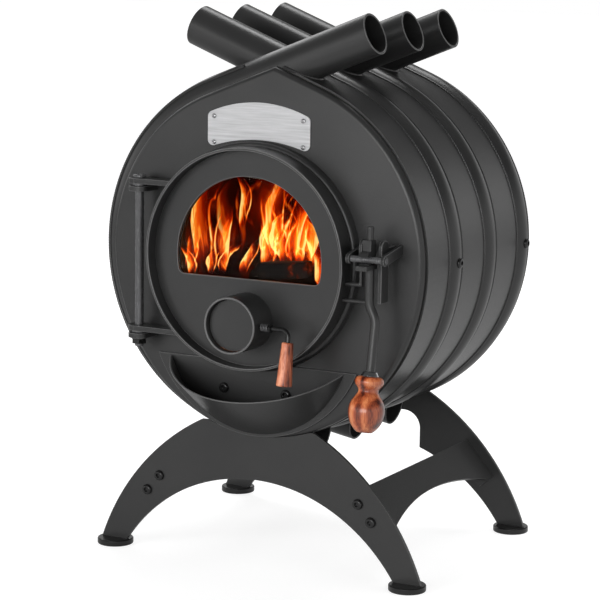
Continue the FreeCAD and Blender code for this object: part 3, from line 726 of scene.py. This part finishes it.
def ropeStrand(first):
    r = ropeSet
    hub = middle("door_rope")
    outer = sum(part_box("door_rope")[1].xz - hub.xz) / 2
    outward = Vector((outer - r["inset"], 0, 0))
    off = Matrix.Rotation(first, 3, "Z") @ Vector((r["lay"], 0, 0))
    part = bmesh.new()
    bmesh.ops.create_circle(part, segments=r["sides"], radius=r["strand"],
                            matrix=Matrix.Translation(hub + outward + off))
    edges = part.edges[:]
    count = r["turns"] * r["steps"]
    onward = Matrix.Rotation(math.tau / count, 4, "Y")
    for step in range(count):
        turn = Matrix.Rotation(math.tau * step / count, 3, "Y")
        centre = hub + turn @ outward
        twist = Matrix.Rotation(math.tau / r["steps"], 4, turn @ Vector((0, 0, 1)))
        about = Matrix.Translation(hub) @ onward @ Matrix.Translation(-hub)
        about = about @ Matrix.Translation(centre) @ twist @ Matrix.Translation(-centre)
        edges = extend(part, edges, about)
    join(part, r["join"])
    faceOut(part)
    return part


bm = bmesh.new()
for strand in range(ropeSet["strands"]):
    addTo(bm, ropeStrand(math.tau * strand / ropeSet["strands"]))
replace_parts(newPiece("door_rope_laid", bm, "door", fibreRope, sharp=80.0), "door_rope")
print("rope:", ropeSet["strands"], "strands of", ropeSet["turns"], "turns")


# weld beads beside the tubes and saddle welds at the crossings

weldSet = {
    "shell": tubeSet["bend"] + tubeSet["stripOver"],
    "beside": 0.0189,
    "endClear": 0.02,
    "radius": 0.0022,
    "sides": 8,
    "stepLength": 0.001,
    "riseSteps": 60,
    "saddleSteps": 100,
    "saddleOut": 0.3,
    "ripple": 0.0038,
    "rippleDepth": 0.00012,
    "rippleSlant": 5,
}


def rippled(bm, hub):
    for vert in bm.verts:
        out = vert.co - hub
        along = math.atan2(out.z, out.x) * weldSet["shell"]
        wave = math.sin(along * math.tau / weldSet["ripple"] + weldSet["rippleSlant"] * out.y)
        vert.co += vert.normal * weldSet["rippleDepth"] * wave


def endWeld(bm, part, hub, mirror):
    faceOut(part, mirror)
    part.normal_update()
    rippled(part, hub)
    addTo(bm, part)


def weldBead(bm, y, mirror):
    w = weldSet
    first = -math.radians(tubeSet["tailAngle"]) - math.asin(tubeSet["bend"] / w["shell"])
    last = math.radians(90 - tubeSet["exitAngle"])
    hub = Vector((0, y, drumZ))
    spot = hub + w["shell"] * Vector((math.cos(first), 0, math.sin(first)))
    start = Vector((-math.sin(first), 0, math.cos(first)))
    part = bmesh.new()
    ringAcross(part, spot, start, w["radius"], w["sides"])
    steps = int((last - first) * w["shell"] / w["stepLength"])
    spun = bmesh.ops.spin(part, geom=part.edges[:], cent=hub, axis=(0, 1, 0), angle=first - last,
                          steps=steps)
    edges = onlyEdges(spun["geom_last"])
    rise = Vector((-math.sin(last), 0, math.cos(last)))
    for step in range(w["riseSteps"]):
        edges = extend(part, edges, Matrix.Translation(rise * w["stepLength"]))
    join(part)
    endWeld(bm, part, hub, mirror)


def saddleWeld(bm, k):
    w = weldSet
    tilt = math.radians(tubeSet["exitAngle"])
    shell = w["shell"]
    offset = (shell - tubeSet["bend"]) / (2 * math.sin(tilt))
    spot = Vector((offset, tubeY[k - 1], drumZ + shell / math.cos(tilt) - offset * math.tan(tilt)))
    reach = tubeSet["radius"] + w["radius"] * w["saddleOut"]
    part = bmesh.new()
    turn = Matrix.Translation((0, -reach, 0)) @ Matrix.Rotation(math.radians(90), 4, "Y")
    bmesh.ops.create_circle(part, segments=w["sides"], radius=w["radius"], matrix=turn)
    bmesh.ops.spin(part, geom=part.edges[:], cent=(0, 0, 0), axis=(0, 0, 1), angle=math.pi,
                   steps=w["saddleSteps"])
    join(part)
    bmesh.ops.scale(part, vec=(1 / math.sin(2 * tilt), 1, 1), verts=part.verts)
    bmesh.ops.rotate(part, cent=(0, 0, 0), matrix=Matrix.Rotation(tilt, 3, "Y"), verts=part.verts)
    bmesh.ops.translate(part, vec=spot, verts=part.verts)
    endWeld(bm, part, Vector((0, tubeY[k - 1], drumZ)), mirror=k % 2 == 0)


bm = bmesh.new()
for k in tubeNumbers:
    for side in (-1, 1):
        y = tubeY[k - 1] + side * weldSet["beside"]
        if faceY + weldSet["endClear"] < y < backY - weldSet["endClear"]:
            weldBead(bm, y, mirror=k % 2 == 1)
    saddleWeld(bm, k)
newPiece("weld_beads", bm, "stove", paint)


# fire: logs, embers and flames

coalSet = {
    "rough": 0.85,
    "gloss": 0.1,
    "drawn": (1, 0.3, 1),
    "bark": [
        (0.35, (0.002, 0.0015, 0.0015)),
        (0.58, (0.007, 0.004, 0.003)),
        (0.74, (0.028, 0.016, 0.010)),
    ],
    "barkDepth": 0.0014,
    "patch": 24.0,
    "crack": 1.15,
    "heat": [
        (0.40, (0, 0, 0)),
        (0.46, (0.10, 0.006, 0.0)),
        (0.54, (0.62, 0.07, 0.006)),
        (0.64, (1, 0.36, 0.05)),
    ],
}


def coalFinish(name, size, glow):
    c = coalSet
    finish, tree, shader = startFinish(name, c["rough"])
    bark = noise(tree, place(tree, c["drawn"]), size, detail=6.0, rough=0.65)
    tree.links.new(ramp(tree, bark, c["bark"]), shader.inputs["Base Color"])
    patch = noise(tree, place(tree), c["patch"], rough=0.6)
    heat = times(tree, patch, combine(tree, "SUBTRACT", c["crack"], bark))
    tree.links.new(ramp(tree, heat, c["heat"]), shader.inputs["Emission Color"])
    shader.inputs["Emission Strength"].default_value = glow
    shader.inputs["Specular IOR Level"].default_value = c["gloss"]
    emboss(tree, shader, bark, c["barkDepth"])
    return finish


def lay(part, spot, turn):
    pose = Matrix.Translation(spot)
    for angle, axis in zip(turn, "XYZ"):
        pose = pose @ Matrix.Rotation(math.radians(angle), 4, axis)
    bmesh.ops.transform(part, matrix=pose, verts=part.verts)


def sliceAlong(part, way, length, count):
    for cut in range(1, count):
        geom = part.verts[:] + part.edges[:] + part.faces[:]
        at = Vector(way) * (length * (cut / count - 0.5))
        bmesh.ops.bisect_plane(part, geom=geom, plane_co=at, plane_no=way)


# a log: place, turn, length and radius
logSet = {
    "logs": [
        ((-0.062, 0.015, 0.300), (0, 0, 4), 0.24, 0.037),
        ((0.018, 0.010, 0.298), (0, 0, -3), 0.23, 0.036),
        ((0.088, 0.020, 0.318), (0, 0, 5), 0.22, 0.030),
        ((-0.118, 0.020, 0.322), (0, 0, -4), 0.22, 0.032),
        ((-0.026, 0.022, 0.360), (0, 0, -7), 0.22, 0.031),
        ((0.046, 0.012, 0.360), (0, 0, 6), 0.21, 0.030),
        ((-0.085, 0.050, 0.372), (-3, 0, 14), 0.18, 0.024),
    ],
    "sides": 26,
    "taper": 0.94,
    "slices": 20,
    "barkAcross": 60,
    "barkAlong": 12,
    "barkShift": 90,
    "barkDepth": 0.18,
}


def makeLogs():
    s = logSet
    lie = Matrix.Rotation(math.radians(90), 4, "X")
    bm = bmesh.new()
    for spot, turn, length, radius in s["logs"]:
        part = bmesh.new()
        bmesh.ops.create_cone(part, cap_ends=True, segments=s["sides"], radius1=radius,
                              radius2=radius * s["taper"], depth=length, matrix=lie)
        sliceAlong(part, (0, 1, 0), length, s["slices"])
        for vert in part.verts:
            x, y, z = vert.co
            down = y * s["barkAlong"] + spot[0] * s["barkShift"]
            bark = mathNoise.noise(Vector((x * s["barkAcross"], down, z * s["barkAcross"])))
            vert.co.x *= 1 + s["barkDepth"] * bark
            vert.co.z *= 1 + s["barkDepth"] * bark
        lay(part, spot, turn)
        addTo(bm, part)
    newPiece("fire_logs", bm, "stove", coalFinish("charredLog", size=55.0, glow=0.9), sharp=50.0)


# a split log: place, turn and size
billetSet = {
    "billets": [
        ((-0.010, -0.076, 0.400), (0, -5, 10), (0.074, 0.026, 0.022)),
        ((-0.072, -0.002, 0.430), (0, -56, 24), (0.092, 0.026, 0.024)),
    ],
    "edge": 0.003,
    "slices": 24,
    "chip": Vector((30, 80, 80)),
    "chipDepth": (0.12, 0.16),
}


def makeBillets():
    s = billetSet
    bm = bmesh.new()
    for spot, turn, size in s["billets"]:
        part = bmesh.new()
        bmesh.ops.create_cube(part, size=1.0, matrix=Matrix.Diagonal((*size, 1)))
        bmesh.ops.bevel(part, geom=part.edges[:], offset=s["edge"], affect="EDGES", segments=2,
                        profile=0.5, material=-1)
        sliceAlong(part, (1, 0, 0), size[0], s["slices"])
        for vert in part.verts:
            chip = mathNoise.noise(vert.co * s["chip"])
            vert.co.y *= 1 + s["chipDepth"][0] * chip
            vert.co.z *= 1 + s["chipDepth"][1] * chip
        lay(part, spot, turn)
        addTo(bm, part)
    newPiece("split_logs", bm, "stove", coalFinish("charredSplit", size=80.0, glow=0.7), sharp=40.0)


emberSet = {
    "floor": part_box("hearth_plate")[1].z,
    "seed": 7,
    "lumps": 60,
    "room": (0.085, 0.13),
    "back": 0.01,
    "rise": 0.011,
    "radius": (0.007, 0.016),
    "rough": 0.3,
    "roughScale": 90,
    "flat": (1.2, 1, 0.65),
}


def makeEmbers():
    s = emberSet
    rng = random.Random(s["seed"])
    wide, deep = s["room"]
    bm = bmesh.new()
    for lump in range(s["lumps"]):
        part = bmesh.new()
        bmesh.ops.create_icosphere(part, subdivisions=2, radius=rng.uniform(*s["radius"]))
        for vert in part.verts:
            dent = mathNoise.noise(vert.co * s["roughScale"] + Vector((lump, 0, 0)))
            vert.co *= 1 + s["rough"] * dent
        x, y = rng.uniform(-wide, wide), rng.uniform(-deep, deep)
        bmesh.ops.scale(part, vec=s["flat"], verts=part.verts)
        bmesh.ops.translate(part, vec=(x, y + s["back"], s["floor"] + s["rise"]), verts=part.verts)
        addTo(bm, part)
    newPiece("fire_embers", bm, "stove", coalFinish("glowingCoal", size=120.0, glow=2.2))


def glowFinish(name):
    finish = bpy.data.materials.new(name)
    finish.use_nodes = True
    tree = finish.node_tree
    tree.nodes.remove(tree.nodes["Principled BSDF"])
    glow = tree.nodes.new("ShaderNodeEmission")
    return finish, tree, glow, tree.nodes["Material Output"]


# the lit smoke behind the flames, a part of a cylinder
smokeSet = {
    "hub": (-0.055, -0.02),
    "radius": 0.150,
    "from": 10,
    "to": 215,
    "low": 0.29,
    "high": 0.545,
    "rows": 10,
    "steps": 32,
    "drawn": (1, 1, 0.5),
    "haze": 16.0,
    "colours": [
        (0.40, (0.0005, 0, 0)),
        (0.55, (0.006, 0.0002, 0.0)),
        (0.68, (0.045, 0.0015, 0.0)),
        (0.82, (0.20, 0.014, 0.0006)),
    ],
}


def backGlow():
    s = smokeSet
    finish, tree, glow, out = glowFinish("firelitSmoke")
    haze = noise(tree, place(tree, s["drawn"]), s["haze"], detail=5.0, rough=0.6, warp=0.6)
    tree.links.new(ramp(tree, haze, s["colours"]), glow.inputs["Color"])
    tree.links.new(glow.outputs[0], out.inputs["Surface"])
    x, y = s["hub"]
    first = math.radians(s["from"])
    foot = Vector((x + s["radius"] * math.cos(first), y + s["radius"] * math.sin(first), s["low"]))
    bm = bmesh.new()
    seed = bmesh.ops.create_vert(bm, co=foot)["vert"]
    for step in range(s["rows"]):
        seed = bmesh.ops.extrude_vert_indiv(bm, verts=seed)["verts"]
        bmesh.ops.translate(bm, verts=seed, vec=(0, 0, (s["high"] - s["low"]) / s["rows"]))
    bmesh.ops.spin(bm, geom=bm.verts[:] + bm.edges[:], cent=(x, y, 0), axis=(0, 0, 1),
                   angle=math.radians(s["to"] - s["from"]), steps=s["steps"])
    newPiece("flame_back", bm, "stove", finish, sharp=180.0)


# a tongue: place across the fire, height of its root, height, width, depth, lean and sway;
# a width below zero turns its bright edge to the other side
flameSet = {
    "hub": (-0.07, -0.03),
    "facing": 28.0,
    "far": [
        (-0.122, 0.372, 0.120, 0.034, 0.070, 0.010, 0.010),
        (-0.046, 0.385, 0.150, 0.028, 0.060, 0.012, 0.012),
        (0.000, 0.430, 0.110, -0.036, 0.060, -0.006, 0.012),
        (0.022, 0.462, 0.078, 0.032, 0.052, 0.010, 0.012),
        (0.046, 0.430, 0.100, -0.034, 0.050, 0.008, 0.012),
        (0.078, 0.392, 0.120, -0.036, 0.050, -0.010, 0.010),
    ],
    "middle": [
        (-0.104, 0.384, 0.062, 0.016, 0.016, 0.018, 0.006),
        (-0.086, 0.384, 0.150, 0.025, 0.015, 0.030, 0.011),
        (-0.058, 0.386, 0.104, -0.020, 0.012, -0.008, 0.008),
        (-0.031, 0.436, 0.098, 0.013, 0.030, -0.006, 0.008),
        (0.006, 0.396, 0.112, 0.026, 0.012, 0.020, 0.012),
        (0.026, 0.394, 0.138, 0.032, 0.002, 0.008, 0.014),
        (0.040, 0.392, 0.130, -0.034, -0.002, -0.002, 0.014),
        (0.056, 0.390, 0.100, -0.026, 0.002, -0.006, 0.012),
        (0.074, 0.386, 0.082, 0.022, 0.006, 0.004, 0.010),
    ],
    "near": [
        (-0.100, 0.384, 0.050, 0.012, -0.030, -0.014, 0.004),
        (-0.074, 0.386, 0.044, 0.012, -0.034, 0.020, 0.004),
        (-0.056, 0.388, 0.050, -0.013, -0.034, 0.022, 0.004),
        (-0.026, 0.386, 0.058, 0.013, -0.036, 0.026, 0.005),
        (0.004, 0.392, 0.078, 0.021, -0.024, 0.022, 0.007),
        (0.030, 0.396, 0.096, 0.026, -0.018, 0.008, 0.009),
        (0.046, 0.396, 0.090, -0.025, -0.020, -0.006, 0.009),
        (0.082, 0.366, 0.072, 0.015, -0.030, -0.008, 0.005),
    ],
    "layers": {
        "far": {"strength": 0.5, "heat": 0.74, "scale": 20.0},
        "middle": {"strength": 1.0, "heat": 1.05, "scale": 26.0},
        "near": {"strength": 1.1, "heat": 1.2, "scale": 36.0},
    },
    "grid": (8, 20),
    "belly": (0.30, 1.9, -2.1),
    "swing": {"size": 1.5, "waves": 5.2, "shift": 1.7},
    "bow": -0.35,
}

# brightness across a tongue, then its colours from cold to hot
tongueSet = {
    "sheet": [(0.03, 0), (0.10, 1), (0.20, 0.68), (0.46, 0.40), (0.72, 0.22), (0.80, 0.80),
              (0.88, 0.16), (0.96, 0)],
    "colours": [
        (0.0, (0, 0, 0)),
        (0.16, (0.014, 0.0004, 0.0)),
        (0.34, (0.20, 0.006, 0.0)),
        (0.52, (0.80, 0.075, 0.002)),
        (0.70, (1, 0.29, 0.018)),
        (0.94, (1, 0.74, 0.22)),
    ],
    "drawn": (1, 1, 0.34),
    "wander": 0.9,
    "curlDrawn": (1, 1, 0.22),
    "curlScale": 2.2,
    "curlGlow": (0.55, 1.25),
    "veinSharp": 16.0,
    "veinGlow": 0.45,
    "taper": ((0.45, 1.0), (1.0, 0.0)),
    "root": ((0.0, 0.32), (0.12, 1.0)),
}


def tongueFinish(name, layer):
    t = tongueSet
    finish, tree, glow, out = glowFinish(name)
    flow = tree.nodes.new("ShaderNodeUVMap")
    flow.uv_map = "flow"
    spot = partsOf(tree, flow.outputs["UV"])
    across, up = spot["X"], spot["Y"]
    wander = noise(tree, place(tree, t["drawn"]), layer["scale"], detail=2.0, warp=0.8)
    curlScale = layer["scale"] * t["curlScale"]
    curl = noise(tree, place(tree, t["curlDrawn"]), curlScale, rough=0.55, warp=0.9)
    shift = times(tree, combine(tree, "SUBTRACT", wander, 0.5), t["wander"])
    stops = [(at, (tone,) * 3) for at, tone in t["sheet"]]
    sheet = ramp(tree, combine(tree, "ADD", across, shift), stops)
    tapered = times(tree, sheet, between(tree, up, *t["taper"]))
    body = times(tree, tapered, between(tree, up, *t["root"]))
    fold = combine(tree, "ABSOLUTE", combine(tree, "SUBTRACT", curl, 0.5), 0)
    thin = combine(tree, "SUBTRACT", 1.0, times(tree, fold, t["veinSharp"]))
    vein = times(tree, combine(tree, "MAXIMUM", thin, 0.0), t["veinGlow"])
    lit = combine(tree, "ADD", vein, spread(tree, curl, *t["curlGlow"]))
    heat = times(tree, times(tree, body, lit), layer["heat"])
    glow.inputs["Strength"].default_value = layer["strength"]
    tree.links.new(ramp(tree, heat, t["colours"]), glow.inputs["Color"])
    clear = tree.nodes.new("ShaderNodeBsdfTransparent")
    both = tree.nodes.new("ShaderNodeAddShader")
    tree.links.new(clear.outputs[0], both.inputs[0])
    tree.links.new(glow.outputs[0], both.inputs[1])
    tree.links.new(both.outputs[0], out.inputs["Surface"])
    return finish


def makeFlames():
    f = flameSet
    turn = math.radians(f["facing"])
    along = Vector((math.cos(turn), math.sin(turn), 0))
    inward = Vector((-math.sin(turn), math.cos(turn), 0))
    columns, rows = f["grid"]
    foot, swell, close = f["belly"]
    swing = f["swing"]
    for key, layer in f["layers"].items():
        bm = bmesh.new()
        bm.loops.layers.uv.new("flow")
        for count, (side, root, height, width, deep, lean, sway) in enumerate(f[key]):
            hub = Vector((*f["hub"], root)) + along * side + inward * deep
            made = bmesh.ops.create_grid(bm, x_segments=columns, y_segments=rows, size=0.5,
                                         calc_uvs=True)
            for vert in made["verts"]:
                u, v = vert.co.x * 2, vert.co.y + 0.5
                wide = width * (foot + swell * v + close * v * v)
                wave = math.sin(v * swing["waves"] + count * swing["shift"])
                drift = lean * v * v + swing["size"] * sway * wave * v
                bow = f["bow"] * abs(wide) * (1 - u * u)
                vert.co = hub + along * (u * wide + drift) + inward * bow + Vector((0, 0, height * v))
        newPiece("flame_" + key, bm, "stove", tongueFinish("flame" + key.title(), layer), sharp=180.0)


makeLogs()
makeBillets()
makeEmbers()
backGlow()
makeFlames()
logCount = len(logSet["logs"]) + len(billetSet["billets"])
print("fire:", logCount, "logs,", sum(len(flameSet[key]) for key in flameSet["layers"]), "tongues")
